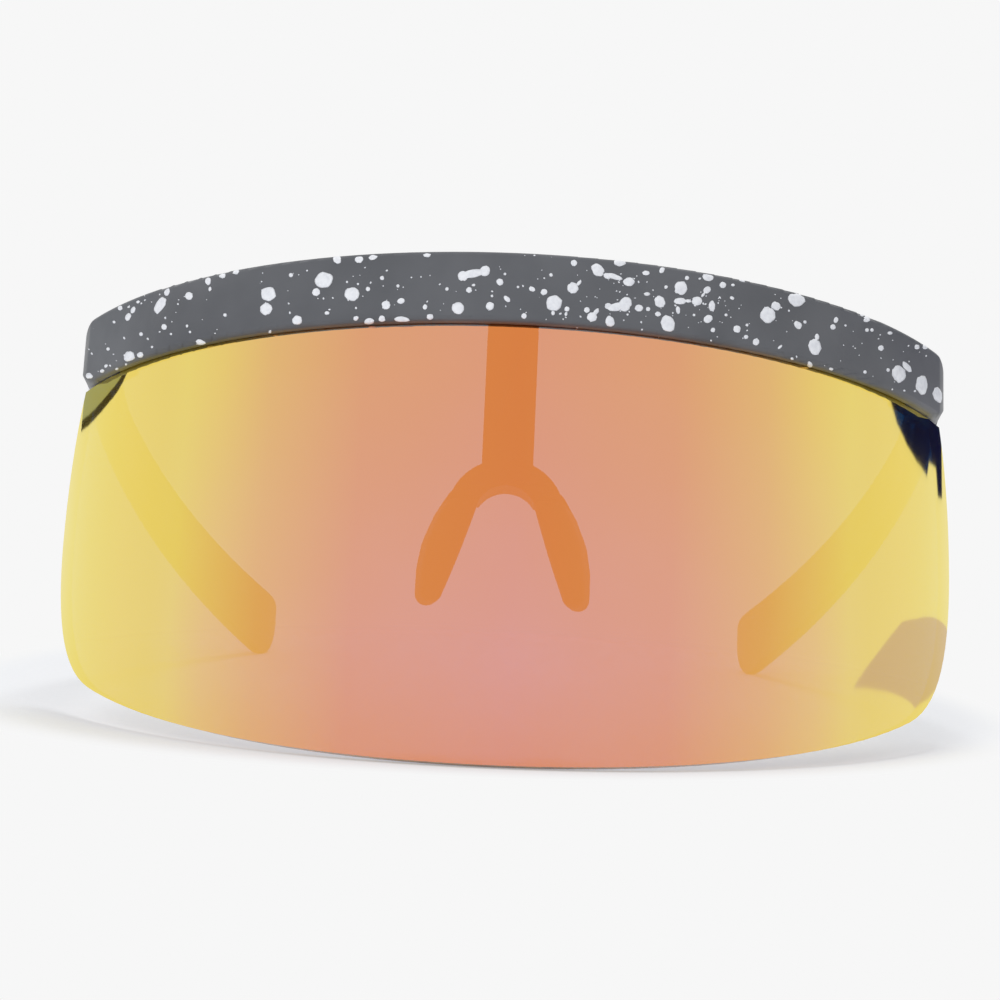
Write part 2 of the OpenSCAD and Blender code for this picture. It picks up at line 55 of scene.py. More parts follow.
mm = 0.001
upAxis = next(Vector(j["axis"]) for j in frame["joints"] if j["name"] == "arm_right_fold").normalized()
backAxis = Vector((1, 0, 0)).cross(upAxis) * -1   # square to the lens's axis, towards the back
print("lean on the table:", round(math.degrees(math.atan2(upAxis.y, upAxis.z)), 2), "degrees")


# small helpers

def hexColor(text):
    # sRGB hex to the linear values that Blender works in
    values = [int(text[i:i + 2], 16) / 255 for i in (1, 3, 5)]
    return [v / 12.92 if v <= 0.04045 else ((v + 0.055) / 1.055) ** 2.4 for v in values] + [1.0]


def addNode(owner, kind, settings=None, inputs=None):
    # "stops" fills a color ramp, any other setting is the node's own
    node = owner.node_tree.nodes.new(kind)
    for name, value in (settings or {}).items():
        if name != "stops":
            setattr(node, name, value)
            continue
        while len(node.color_ramp.elements) < len(value):
            node.color_ramp.elements.new(0.5)
        for element, (place, color) in zip(node.color_ramp.elements, value):
            element.position = place
            element.color = hexColor(color)
    for name, value in (inputs or {}).items():
        if isinstance(value, bpy.types.NodeSocket):
            owner.node_tree.links.new(value, node.inputs[name])
        else:
            node.inputs[name].default_value = value
    return node


def newMaterial(name):
    material = bpy.data.materials.new(name)
    material.use_nodes = True
    material.node_tree.nodes.clear()
    return material


# camera

view = {
    "place": (3.276, -496.095, 55.695),   # mm
    "yaw": 0.010,                         # radians
    "pitch": -0.03424,
    "roll": 0.04117,
    "focalPixels": 2635.06,               # on a picture 1000 pixels wide
    "picturePixels": 1000.0,
    "sensor": 36.0,                       # mm
    "clip": (0.01, 20.0),                 # m
}
cameraData = bpy.data.cameras.new("camera")
cameraData.sensor_width = view["sensor"]
cameraData.lens = view["sensor"] * view["focalPixels"] / view["picturePixels"]
cameraData.clip_start, cameraData.clip_end = view["clip"]
camera = bpy.data.objects.new("camera", cameraData)
scene.collection.objects.link(camera)
cameraTurn = (Matrix.Rotation(view["yaw"], 4, "Z") @ Matrix.Rotation(view["pitch"], 4, "X")
              @ Matrix.Rotation(math.radians(90), 4, "X") @ Matrix.Rotation(view["roll"], 4, "Z"))
camera.matrix_world = Matrix.Translation(Vector(view["place"]) * mm) @ cameraTurn
scene.camera = camera
eye = camera.matrix_world.translation.copy()


def lookThrough(px, py):
    # the way that the camera looks through a pixel
    half = view["picturePixels"] / 2
    ray = Vector(((px - half) / view["focalPixels"], (half - py) / view["focalPixels"], -1))
    return (cameraTurn.to_3x3() @ ray).normalized()


# materials

nylon = {
    "grey": "#525459",         # satin grey of the moulded bar and arms
    "greyWorn": "#5e6065",     # the same where handling has polished it
    "cloudSize": 14.0,         # mm, of the patches between the two
    "grainSize": 0.35,         # mm, coarser than the real 0.05 mm so that it shows
    "grainDepth": 0.02,        # mm
    "roughness": (0.5, 0.38),  # fresh from the mould, and polished
    "ior": 1.53,
}

paint = {
    "white": "#eef0f5",        # cold white of the thrown paint
    "whiteThin": "#dfe1e8",    # the same where it dried thin
    "roughness": 0.28,
    "ior": 1.5,
    "skinSize": 0.8,           # mm, of the dimples in the dried skin
    "skinDepth": 0.03,         # mm
    "speckSize": 1.5,          # mm between the finest specks
    "speckRadius": 0.22,       # mm, the biggest of them
    "speckPatch": 26.0,        # mm, of the places where they fall thicker
    "speckChance": (0.38, 0.62),   # lot drawn by a speck: none below the first, full size at the second
}


def makeMouldedNylon(name):
    # Glass-filled nylon from a spark-eroded mould: an even satin with a fine grain, and a mist
    # of the finest paint specks, which the eye reads as dust between the bigger drops.
    material = newMaterial(name)
    place = addNode(material, "ShaderNodeTexCoord").outputs["Object"]
    cloudy = addNode(material, "ShaderNodeTexNoise", None,
                     {"Vector": place, "Scale": 1 / (nylon["cloudSize"] * mm),
                      "Detail": 3.0, "Roughness": 0.5})
    base = addNode(material, "ShaderNodeValToRGB",
                   {"stops": [(0.3, nylon["grey"]), (0.75, nylon["greyWorn"])]},
                   {"Fac": cloudy.outputs["Fac"]})
    grain = addNode(material, "ShaderNodeTexNoise", None,
                    {"Vector": place, "Scale": 1 / (nylon["grainSize"] * mm), "Detail": 2.0})
    dots = addNode(material, "ShaderNodeTexVoronoi", {"feature": "F1"},
                   {"Vector": place, "Scale": 1 / (paint["speckSize"] * mm), "Randomness": 1.0})
    near = addNode(material, "ShaderNodeMath", {"operation": "MULTIPLY"},
                   {0: dots.outputs["Distance"], 1: paint["speckSize"]})
    pick = addNode(material, "ShaderNodeSeparateColor", None, {"Color": dots.outputs["Color"]})
    patches = addNode(material, "ShaderNodeTexNoise", None,
                      {"Vector": place, "Scale": 1 / (paint["speckPatch"] * mm), "Detail": 1.0})
    chosen = addNode(material, "ShaderNodeMath", {"operation": "MULTIPLY"},
                     {0: pick.outputs["Red"], 1: patches.outputs["Fac"]})
    size = addNode(material, "ShaderNodeMapRange", None,
                   {"Value": chosen.outputs["Value"], "From Min": paint["speckChance"][0],
                    "From Max": paint["speckChance"][1], "To Min": 0.0, "To Max": paint["speckRadius"]})
    inside = addNode(material, "ShaderNodeMath", {"operation": "LESS_THAN"},
                     {0: near.outputs["Value"], 1: size.outputs["Result"]})
    color = addNode(material, "ShaderNodeMix", {"data_type": "RGBA"},
                    {"Factor": inside.outputs["Value"], 6: base.outputs["Color"],
                     7: hexColor(paint["whiteThin"])})
    rough = addNode(material, "ShaderNodeMapRange", None,
                    {"Value": cloudy.outputs["Fac"], "From Min": 0.3, "From Max": 0.7,
                     "To Min": nylon["roughness"][0], "To Max": nylon["roughness"][1]})
    bump = addNode(material, "ShaderNodeBump", None,
                   {"Height": grain.outputs["Fac"], "Strength": 0.25,
                    "Distance": nylon["grainDepth"] * mm})
    shader = addNode(material, "ShaderNodeBsdfPrincipled", None,
                     {"Base Color": color.outputs[2], "Roughness": rough.outputs["Result"],
                      "IOR": nylon["ior"], "Normal": bump.outputs["Normal"]})
    addNode(material, "ShaderNodeOutputMaterial", None, {"Surface": shader.outputs["BSDF"]})
    return material


def makeSplatterPaint():
    # Solvent paint flicked on and dried: thick glossy beads with a faint orange-peel skin.
    material = newMaterial("splatterPaint")
    place = addNode(material, "ShaderNodeTexCoord").outputs["Object"]
    skin = addNode(material, "ShaderNodeTexNoise", None,
                   {"Vector": place, "Scale": 1 / (paint["skinSize"] * mm), "Detail": 2.0})
    color = addNode(material, "ShaderNodeValToRGB",
                    {"stops": [(0.25, paint["whiteThin"]), (0.6, paint["white"])]},
                    {"Fac": skin.outputs["Fac"]})
    bump = addNode(material, "ShaderNodeBump", None,
                   {"Height": skin.outputs["Fac"], "Strength": 0.2,
                    "Distance": paint["skinDepth"] * mm})
    shader = addNode(material, "ShaderNodeBsdfPrincipled", None,
                     {"Base Color": color.outputs["Color"], "Roughness": paint["roughness"],
                      "IOR": paint["ior"], "Normal": bump.outputs["Normal"]})
    addNode(material, "ShaderNodeOutputMaterial", None, {"Surface": shader.outputs["BSDF"]})
    return material


lens = {
    "radius": 86.0,            # mm, outer face
    "faceShare": 0.95,         # how squarely a face looks out or in to count as the sheet's own
    "halfWidth": 79.0,         # mm from the middle to where the color ramps end
    "middle": 1.5,             # mm, the coat's own middle along X
    "mirror": [(0.0, "#df8447"), (0.32, "#e08e4b"), (0.52, "#e4a84f"), (0.63, "#e9c05a"),
               (0.71, "#edd05e"), (0.84, "#f1d660"), (1.0, "#f3df59")],
    "throughHigh": [(0.0, "#386c7f"), (0.52, "#386770"), (0.63, "#39625c"), (0.76, "#003456")],
    # painted light: the lower through-tones let more light through, lifting the floor's shade seen through
    # the lens near the table
    "throughLowShadeLift": [(0.0, "#2d72a0"), (0.52, "#385b8b"), (0.63, "#2c3882"), (0.76, "#002d67")],
    "lowFrom": 62.0,           # mm above the table, where the upper tones start to give way
    "lowTo": 16.0,             # mm, where only the lower ones are left
    "coatRoughness": (0.02, 0.05),
    "coatHaze": 22.0,          # mm, of the patches where the coat is a little duller
    "tint": "#e9e4dc",         # light smoke in the sheet itself
    "tintThin": "#efeae3",     # the same where it is paler
    "tintHaze": 18.0,          # mm, of the patches between the two
    "gloss": "#3a2c22",        # what the bare inner face shows where it is seen at a slant
    "glossShare": (0.05, 0.7), # how much of it, seen squarely and at the steepest slant
    "glossRoughness": 0.05,
    "edge": ("#a86f3c", "#c9965a"),
    "edgeMarks": 2.5,          # mm, of the marks from milling the edge
    "edgeRoughness": 0.22,
    "ior": 1.58,               # polycarbonate
}


def makeMirrorCoat():
    # Polycarbonate with a vacuum-deposited mirror: the layers are thinner at the ends, so the
    # reflection runs from salmon orange in the middle to yellow, and a little light passes.
    material = newMaterial("mirrorCoatedPolycarbonate")
    place = addNode(material, "ShaderNodeTexCoord").outputs["Object"]
    axes = addNode(material, "ShaderNodeSeparateXYZ", None, {"Vector": place})
    aside = addNode(material, "ShaderNodeMath", {"operation": "SUBTRACT"},
                    {0: axes.outputs["X"], 1: lens["middle"] * mm})
    away = addNode(material, "ShaderNodeMath", {"operation": "ABSOLUTE"}, {0: aside.outputs["Value"]})
    share = addNode(material, "ShaderNodeMapRange", None,
                    {"Value": away.outputs["Value"], "From Max": lens["halfWidth"] * mm})
    coat = addNode(material, "ShaderNodeValToRGB", {"stops": lens["mirror"]},
                   {"Fac": share.outputs["Result"]})
    high = addNode(material, "ShaderNodeValToRGB", {"stops": lens["throughHigh"]},
                   {"Fac": share.outputs["Result"]})
    low = addNode(material, "ShaderNodeValToRGB", {"stops": lens["throughLowShadeLift"]},
                  {"Fac": share.outputs["Result"]})
    # painted light: towards the table more light passes, which lifts the floor's shade seen through the lens
    sink = addNode(material, "ShaderNodeMapRange", None,
                   {"Value": axes.outputs["Z"], "From Min": lens["lowFrom"] * mm,
                    "From Max": lens["lowTo"] * mm})
    through = addNode(material, "ShaderNodeMix", {"data_type": "RGBA"},
                      {"Factor": sink.outputs["Result"], 6: high.outputs["Color"],
                       7: low.outputs["Color"]})
    haze = addNode(material, "ShaderNodeTexNoise", None,
                   {"Vector": place, "Scale": 1 / (lens["coatHaze"] * mm), "Detail": 4.0})
    rough = addNode(material, "ShaderNodeMapRange", None,
                    {"Value": haze.outputs["Fac"], "From Min": 0.35, "From Max": 0.7,
                     "To Min": lens["coatRoughness"][0], "To Max": lens["coatRoughness"][1]})
    mirror = addNode(material, "ShaderNodeBsdfPrincipled", None,
                     {"Base Color": coat.outputs["Color"], "Metallic": 1.0,
                      "Roughness": rough.outputs["Result"]})
    clear = addNode(material, "ShaderNodeBsdfTransparent", None, {"Color": through.outputs[2]})
    both = addNode(material, "ShaderNodeAddShader", None,
                   {0: mirror.outputs["BSDF"], 1: clear.outputs["BSDF"]})
    addNode(material, "ShaderNodeOutputMaterial", None, {"Surface": both.outputs["Shader"]})
    return material


def makeLensInside():
    # The sheet's bare inner face: a hard clear gloss over a light smoke tint.
    material = newMaterial("hardCoatedPolycarbonate")
    place = addNode(material, "ShaderNodeTexCoord").outputs["Object"]
    haze = addNode(material, "ShaderNodeTexNoise", None,
                   {"Vector": place, "Scale": 1 / (lens["tintHaze"] * mm), "Detail": 3.0})
    tint = addNode(material, "ShaderNodeValToRGB",
                   {"stops": [(0.3, lens["tint"]), (0.7, lens["tintThin"])]},
                   {"Fac": haze.outputs["Fac"]})
    clear = addNode(material, "ShaderNodeBsdfTransparent", None, {"Color": tint.outputs["Color"]})
    gloss = addNode(material, "ShaderNodeBsdfPrincipled", None,
                    {"Base Color": hexColor(lens["gloss"]), "Roughness": lens["glossRoughness"],
                     "IOR": lens["ior"]})
    slant = addNode(material, "ShaderNodeLayerWeight", None, {"Blend": 0.5})
    edge = addNode(material, "ShaderNodeMapRange", {"interpolation_type": "SMOOTHERSTEP"},
                   {"Value": slant.outputs["Facing"], "From Min": 0.3, "From Max": 1.0,
                    "To Min": lens["glossShare"][0], "To Max": lens["glossShare"][1]})
    both = addNode(material, "ShaderNodeMixShader", None,
                   {0: edge.outputs["Result"], 1: clear.outputs["BSDF"], 2: gloss.outputs["BSDF"]})
    addNode(material, "ShaderNodeOutputMaterial", None, {"Surface": both.outputs["Shader"]})
    return material


def makeLensEdge():
    # The milled and polished edge of the sheet, where the light it carries comes out amber.
    material = newMaterial("polishedPolycarbonateEdge")
    place = addNode(material, "ShaderNodeTexCoord").outputs["Object"]
    marks = addNode(material, "ShaderNodeTexNoise", None,
                    {"Vector": place, "Scale": 1 / (lens["edgeMarks"] * mm), "Detail": 3.0})
    color = addNode(material, "ShaderNodeValToRGB",
                    {"stops": [(0.3, lens["edge"][0]), (0.7, lens["edge"][1])]},
                    {"Fac": marks.outputs["Fac"]})
    shader = addNode(material, "ShaderNodeBsdfPrincipled", None,
                     {"Base Color": color.outputs["Color"], "Roughness": lens["edgeRoughness"],
                      "IOR": lens["ior"]})
    addNode(material, "ShaderNodeOutputMaterial", None, {"Surface": shader.outputs["BSDF"]})
    return material


bridge = {
    "charcoal": ("#232427", "#2a2b2f"),
    "flowSize": 6.0,           # mm, of the streaks that the melt left
    "flowDepth": 0.05,         # mm
    "roughness": 0.55,
    "ior": 1.53,
}


def makeBridgeNylon():
    # Unfilled nylon in charcoal, moulded: darker than the bar, without its grain.
    material = newMaterial("charcoalNylon")
    place = addNode(material, "ShaderNodeTexCoord").outputs["Object"]
    flow = addNode(material, "ShaderNodeTexNoise", None,
                   {"Vector": place, "Scale": 1 / (bridge["flowSize"] * mm),
                    "Detail": 3.0, "Distortion": 0.4})
    color = addNode(material, "ShaderNodeValToRGB",
                    {"stops": [(0.3, bridge["charcoal"][0]), (0.7, bridge["charcoal"][1])]},
                    {"Fac": flow.outputs["Fac"]})
    bump = addNode(material, "ShaderNodeBump", None,
                   {"Height": flow.outputs["Fac"], "Strength": 0.15,
                    "Distance": bridge["flowDepth"] * mm})
    shader = addNode(material, "ShaderNodeBsdfPrincipled", None,
                     {"Base Color": color.outputs["Color"], "Roughness": bridge["roughness"],
                      "IOR": bridge["ior"], "Normal": bump.outputs["Normal"]})
    addNode(material, "ShaderNodeOutputMaterial", None, {"Surface": shader.outputs["BSDF"]})
    return material


pad = {
    "voxel": 0.28,             # mm, remesh size that rounds the CAD pad's facets away
    "softening": 6,            # rounds of smoothing
    "softness": 0.5,           # of each round
    "rubber": ("#232427", "#292a2e"),
    "skinSize": 0.5,           # mm, of the skin's fine grain
    "skinDepth": 0.03,         # mm
    "roughness": 0.7,
    "sheen": 0.1,
    "ior": 1.41,
}


def makeSilicone():
    # Silicone rubber: dead matt, with a soft sheen where the light grazes it.
    material = newMaterial("siliconeRubber")
    place = addNode(material, "ShaderNodeTexCoord").outputs["Object"]
    skin = addNode(material, "ShaderNodeTexNoise", None,
                   {"Vector": place, "Scale": 1 / (pad["skinSize"] * mm), "Detail": 3.0})
    color = addNode(material, "ShaderNodeValToRGB",
                    {"stops": [(0.3, pad["rubber"][0]), (0.7, pad["rubber"][1])]},
                    {"Fac": skin.outputs["Fac"]})
    bump = addNode(material, "ShaderNodeBump", None,
                   {"Height": skin.outputs["Fac"], "Strength": 0.3,
                    "Distance": pad["skinDepth"] * mm})
    shader = addNode(material, "ShaderNodeBsdfPrincipled", None,
                     {"Base Color": color.outputs["Color"], "Roughness": pad["roughness"],
                      "IOR": pad["ior"], "Sheen Weight": pad["sheen"], "Normal": bump.outputs["Normal"]})
    addNode(material, "ShaderNodeOutputMaterial", None, {"Surface": shader.outputs["BSDF"]})
    return material


metals = {   # colors, roughness, and the spacing of the marks in mm along X, Y and Z
    "brushedStainlessSteel": (("#9da0a4", "#b6b9bd"), 0.3, (0.15, 4.0, 0.15)),
    "platedScrewSteel": (("#b3b5b8", "#cfd1d4"), 0.22, (0.4, 0.4, 0.4)),
    "turnedBrass": (("#b8913f", "#d3ac57"), 0.28, (0.5, 0.12, 0.5)),
    "drawnSpringWire": (("#84878b", "#989ba0"), 0.34, (0.12, 5.0, 0.12)),
}
markDepth = 0.02              # mm
markRoughness = (0.8, 1.25)   # share of a metal's roughness, at the two ends of its marks


def makeMetal(name, colors, roughness, marksApart):
    # Bare metal with the marks of how it was made: long one way where it was brushed or drawn,
    # short rings where it was turned, and alike all round where it was plated.
    material = newMaterial(name)
    place = addNode(material, "ShaderNodeTexCoord").outputs["Object"]
    stretch = addNode(material, "ShaderNodeMapping", None,
                      {"Vector": place, "Scale": [1 / (gap * mm) for gap in marksApart]})
    marks = addNode(material, "ShaderNodeTexNoise", None,
                    {"Vector": stretch.outputs["Vector"], "Scale": 1.0, "Detail": 4.0})
    color = addNode(material, "ShaderNodeValToRGB", {"stops": [(0.3, colors[0]), (0.7, colors[1])]},
                    {"Fac": marks.outputs["Fac"]})
    rough = addNode(material, "ShaderNodeMapRange", None,
                    {"Value": marks.outputs["Fac"], "From Min": 0.3, "From Max": 0.7,
                     "To Min": roughness * markRoughness[0], "To Max": roughness * markRoughness[1]})
    bump = addNode(material, "ShaderNodeBump", None,
                   {"Height": marks.outputs["Fac"], "Strength": 0.2, "Distance": markDepth * mm})
    shader = addNode(material, "ShaderNodeBsdfPrincipled", None,
                     {"Base Color": color.outputs["Color"], "Metallic": 1.0,
                      "Roughness": rough.outputs["Result"], "Normal": bump.outputs["Normal"]})
    addNode(material, "ShaderNodeOutputMaterial", None, {"Surface": shader.outputs["BSDF"]})
    return material


barPlastic = makeMouldedNylon("mouldedNylonBar")
armPlastic = makeMouldedNylon("mouldedNylonArm")
paintDrops = makeSplatterPaint()
mirrorCoat = makeMirrorCoat()
lensInside = makeLensInside()
lensEdge = makeLensEdge()
bridgeNylon = makeBridgeNylon()
silicone = makeSilicone()
brushedSteel, screwSteel, turnedBrass, drawnWire = [makeMetal(name, *look) for name, look in metals.items()]
print("materials made")


# pieces that start as a copy of a CAD node

weld = 0.002        # mm, corners closer than this become one
sharpAngle = 35     # degrees, edges turned more than this stay crisp


def copyOf(nodeName, pieceName, material, body):
    mesh = nodes[nodeName].data.copy()
    mesh.name = pieceName
    mesh.materials.clear()
    shape = bmesh.new()
    shape.from_mesh(mesh)
    bmesh.ops.remove_doubles(shape, verts=shape.verts, dist=weld * mm)
    shape.to_mesh(mesh)
    shape.free()
    mesh.polygons.foreach_set("use_smooth", [True] * len(mesh.polygons))
    mesh.set_sharp_from_angle(angle=math.radians(sharpAngle))
    mesh.materials.append(material)
    piece = bpy.data.objects.new(pieceName, mesh)
    scene.collection.objects.link(piece)
    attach(piece, body)
    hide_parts(nodeName)
    return piece


brow = copyOf("brow_bar", "browBar", barPlastic, "front")
armLeft = copyOf("temple_left", "armLeft", armPlastic, "arm_left")
armRight = copyOf("temple_right", "armRight", armPlastic, "arm_right")
copyOf("nose_bridge", "noseBridge", bridgeNylon, "front")
shield = copyOf("shield_lens", "shieldLens", mirrorCoat, "front")
lensAxis = backAxis * (min(v.co.dot(backAxis) for v in shield.data.vertices) + lens["radius"] * mm)


def outwardAt(place):
    away = place - lensAxis
    return (away - upAxis * away.dot(upAxis)).normalized()


def dressLens(mesh):
    # The coat goes on the outer face only. The sheet is bent to one curve, so both faces shade
    # as that curve and only the cut edge keeps its facets.
    mesh.materials.append(lensInside)
    mesh.materials.append(lensEdge)
    normals = []
    square = lens["faceShare"]
    for face in mesh.polygons:
        facing = face.normal.dot(outwardAt(face.center))
        face.material_index = 0 if facing > square else 1 if facing < -square else 2
        for corner in face.loop_indices:
            outward = outwardAt(mesh.vertices[mesh.loops[corner].vertex_index].co)
            normals.append([outward, -outward, face.normal.copy()][face.material_index])
    mesh.normals_split_custom_set(normals)
    counts = [sum(1 for face in mesh.polygons if face.material_index == index) for index in range(3)]
    print("lens faces outside, inside and on the edge:", counts)


dressLens(shield.data)

metalOf = {
    "bridge_screws": screwSteel, "bridge_inserts": turnedBrass,
    "front_hinge_left": brushedSteel, "front_hinge_right": brushedSteel,
    "temple_hinge_left": brushedSteel, "temple_hinge_right": brushedSteel,
    "hinge_screw_left": screwSteel, "hinge_screw_right": screwSteel,
    "front_hinge_screws_left": screwSteel, "front_hinge_screws_right": screwSteel,
    "temple_hinge_screws_left": screwSteel, "temple_hinge_screws_right": screwSteel,
    "temple_core_left": drawnWire, "temple_core_right": drawnWire,
}
for nodeName, material in metalOf.items():
    mesh = nodes[nodeName].data
    mesh.materials.clear()
    mesh.materials.append(material)
print("bar, arms, bridge, lens and metal parts dressed")


# soft nose pads

def makePad(nodeName, pieceName):
    piece = copyOf(nodeName, pieceName, silicone, "front")
    remesh = piece.modifiers.new("skin", "REMESH")
    remesh.mode = "VOXEL"
    remesh.voxel_size = pad["voxel"] * mm
    remesh.use_smooth_shade = True
    relax = piece.modifiers.new("relax", "SMOOTH")
    relax.factor = pad["softness"]
    relax.iterations = pad["softening"]
    skin = bpy.data.meshes.new_from_object(piece.evaluated_get(bpy.context.evaluated_depsgraph_get()))
    piece.modifiers.clear()
    piece.data = skin
    skin.materials.clear()
    skin.materials.append(silicone)


makePad("nose_pad_left", "nosePadLeft")
makePad("nose_pad_right", "nosePadRight")
print("nose pads softened")


# thrown paint

drops = {
    "thickness": 0.16,      # mm, of the biggest drops
    "thinnest": 0.45,       # share of that, which even the smallest ones keep
    "fullSize": 2.2,        # mm, how far a drop's radius adds to that share
    "bigFrom": 0.4,         # mm, radius from which a drop gets the finer shape
    "big": (20, 6),         # segments and rings of that shape
    "small": (10, 4),
    "wobble": 0.18,         # how far an outline strays from a true round
    "wobbles": 2.1,         # how often it does
    "outlineStep": 3.7,     # how far apart in the noise two drops in a row take their outlines
    "reach": 2.5,           # mm that a drop past the bar's edge may be pulled in
    "rounds": 4,            # of closing in on that edge
    "flattest": 0.35,       # the most slanted view, as a cosine, that a drop's shape allows for
    "towardsFront": 0.4,    # how squarely the bar faces the front where the finest drops land
}

# read off the photo: pixel x, pixel y, radius in pixels, how much longer than wide, turn in degrees
dropSpots = {
    "leftEnd": [
        (133, 310, 2.8, 1.7, 65), (128, 317, 3.4, 1.5, 65), (160, 305, 6.4, 1.9, 60),
        (167, 292, 3.2, 1.6, 70), (189, 296, 3.8, 1.0, 0), (164, 327, 2.8, 1.0, 0),
        (129, 357, 5.5, 1.2, 60), (140, 355, 3.2, 1.0, 0), (201, 343, 4.2, 1.6, -20),
        (120, 308, 2.4, 1.0, 0), (138, 302, 1.7, 1.4, 20), (141, 334, 2.0, 1.0, 0),
        (187, 326, 1.5, 1.2, 80), (190, 332, 1.3, 1.0, 0), (225, 315, 1.9, 1.0, 0),
        (114, 322, 1.5, 1.0, 0), (108, 349, 1.8, 1.0, 0), (152, 347, 1.3, 1.0, 0),
        (208, 281, 3.4, 1.5, 90), (210, 289, 2.0, 1.6, 80), (222, 275, 2.8, 1.7, 20),
        (236, 272, 2.6, 1.8, 15), (106, 366, 1.7, 1.3, 40), (102, 371, 2.1, 1.2, 0),
        (89, 376, 3.1, 1.0, 0), (117, 369, 1.5, 1.4, 10), (171, 334, 1.2, 1.0, 0),
        (178, 304, 1.0, 1.0, 0)],
    "middleLeft": [
        (268, 294, 7.2, 1.1, 0), (266, 309, 6.1, 1.1, 70), (297, 320.5, 5.0, 1.0, 0),
        (324, 280, 8.6, 1.15, 10), (316, 292, 3.9, 1.0, 0), (352, 294, 7.2, 1.1, 0),
        (291, 275, 2.2, 1.0, 0), (327, 313, 2.3, 1.4, 10), (368, 289, 2.4, 1.0, 0),
        (386, 305, 4.3, 1.0, 0), (401, 301, 3.3, 1.4, 10), (425, 307, 2.5, 1.2, 80),
        (430, 317, 3.3, 1.0, 0), (356, 318, 2.5, 1.0, 0), (369, 322, 4.2, 1.3, 0),
        (382, 319, 3.4, 1.0, 0), (402, 320, 5.5, 2.0, -8), (382, 278, 2.3, 1.0, 0),
        (398, 286, 1.7, 1.0, 0), (337, 259, 4.0, 1.0, 0), (359, 259, 4.2, 1.0, 80),
        (373, 257, 3.4, 1.7, 15), (427, 255, 2.8, 1.8, 0), (358, 284, 1.2, 1.0, 0),
        (347, 282, 1.2, 1.0, 0), (356, 308, 1.2, 1.0, 0), (270, 332, 1.6, 1.0, 0)],
    "middle": [
        (463, 276, 5.2, 1.1, 0), (473, 273.5, 7.4, 3.4, 10), (485, 271, 5.2, 1.1, 60),
        (458, 308, 6.2, 1.0, 0), (490, 306, 4.2, 1.0, 0), (469, 290, 2.9, 1.0, 0),
        (500, 282, 3.5, 1.0, 0), (507, 299, 3.0, 1.8, -45), (524, 316, 2.8, 1.1, 80),
        (532, 289, 2.8, 1.4, -30), (544, 292, 3.2, 1.0, 0), (551, 275, 1.9, 1.0, 0),
        (554, 303, 8.0, 1.0, 0), (553, 313, 2.2, 1.3, 90), (573, 288, 5.5, 1.0, 0),
        (579, 283, 2.4, 1.8, 50), (574, 263, 3.1, 1.0, 0), (567, 309, 2.6, 1.0, 0),
        (566, 314, 1.8, 1.5, 80), (505, 274, 1.4, 1.0, 0), (447, 289, 1.8, 1.0, 0),
        (474, 285, 1.4, 1.0, 0), (492, 296, 1.4, 1.0, 0), (518, 287, 1.4, 1.0, 0)],
    "middleRight": [
        (587, 310, 2.8, 1.0, 0), (592, 317, 4.9, 1.1, 0), (596, 312, 3.0, 2.0, 55),
        (598, 270, 6.5, 1.3, -40), (607, 276, 3.2, 1.4, -30), (614, 276.5, 4.8, 3.4, -17),
        (629, 282, 5.0, 1.4, 0), (608, 306, 3.2, 1.0, 0), (616, 307, 5.8, 2.0, 8),
        (625, 304, 6.8, 1.1, 60), (610, 322, 5.3, 1.4, 100), (639, 308, 3.8, 1.2, 0),
        (648, 309, 2.3, 1.0, 0), (620, 262, 4.6, 1.7, -5), (646, 273, 2.9, 1.6, 0),
        (662, 270, 2.9, 1.6, 60), (647, 294, 2.4, 1.8, 0), (666, 287, 1.8, 1.0, 0),
        (681, 288, 6.7, 1.05, 80), (687, 278, 2.2, 1.0, 0), (660, 302, 5.6, 1.2, 110),
        (658, 314, 2.7, 1.2, 0), (668, 324, 7.8, 1.2, -60), (680, 301, 4.6, 1.9, 0),
        (678, 310, 2.9, 1.8, 95), (697, 301, 4.8, 1.2, 0), (688, 301, 2.4, 2.0, 0),
        (707, 290, 3.6, 1.3, 40), (703, 295, 1.9, 2.0, 50), (712, 306, 4.1, 1.7, 95),
        (708, 319, 4.2, 1.2, 20), (708, 277, 4.8, 1.4, -10), (723, 285, 3.2, 1.0, 0),
        (713, 330, 2.4, 1.0, 0), (737, 329, 3.7, 1.0, 0), (732, 298, 2.0, 1.5, -30),
        (726, 315, 1.6, 1.0, 0), (694, 315, 1.4, 1.0, 0)],
    "rightEnd": [
        (733, 285, 1.7, 1.3, 0), (742, 281, 2.4, 1.8, -15), (768, 315, 7.7, 1.1, 90),
        (776, 306, 4.5, 1.2, -30), (797, 299, 8.0, 1.1, 0), (798, 325, 3.9, 1.3, -45),
        (805, 322, 1.7, 1.0, 0), (756, 342, 3.4, 1.0, 0), (746, 337, 2.3, 1.0, 0),
        (747, 325, 1.5, 1.0, 0), (836, 320, 2.6, 1.4, 70), (833, 327, 2.7, 1.0, 0),
        (817, 337, 2.6, 1.5, 90), (815, 347, 7.2, 1.3, 100), (867, 319, 3.0, 1.3, -30),
        (862, 315, 1.9, 1.4, -30), (867, 330, 1.9, 1.0, 0), (872, 330, 1.8, 1.0, 0),
        (881, 348, 2.8, 1.0, 0), (890, 333, 2.1, 1.5, 0), (917, 347, 2.5, 1.0, 0),
        (925, 347, 2.6, 1.3, -20), (931, 349, 2.0, 1.2, -20), (899, 374, 7.7, 1.25, 100),
        (907, 367, 4.2, 2.2, -50), (888, 370, 1.8, 1.0, 0), (865, 372, 1.8, 1.0, 0),
        (922, 385, 7.6, 1.6, 95), (938, 395, 6.2, 1.6, 105), (810, 365, 2.7, 1.0, 0),
        (792, 359, 1.7, 1.0, 0), (831, 369, 1.9, 1.6, -15), (780, 347, 1.9, 2.2, 40)],
}

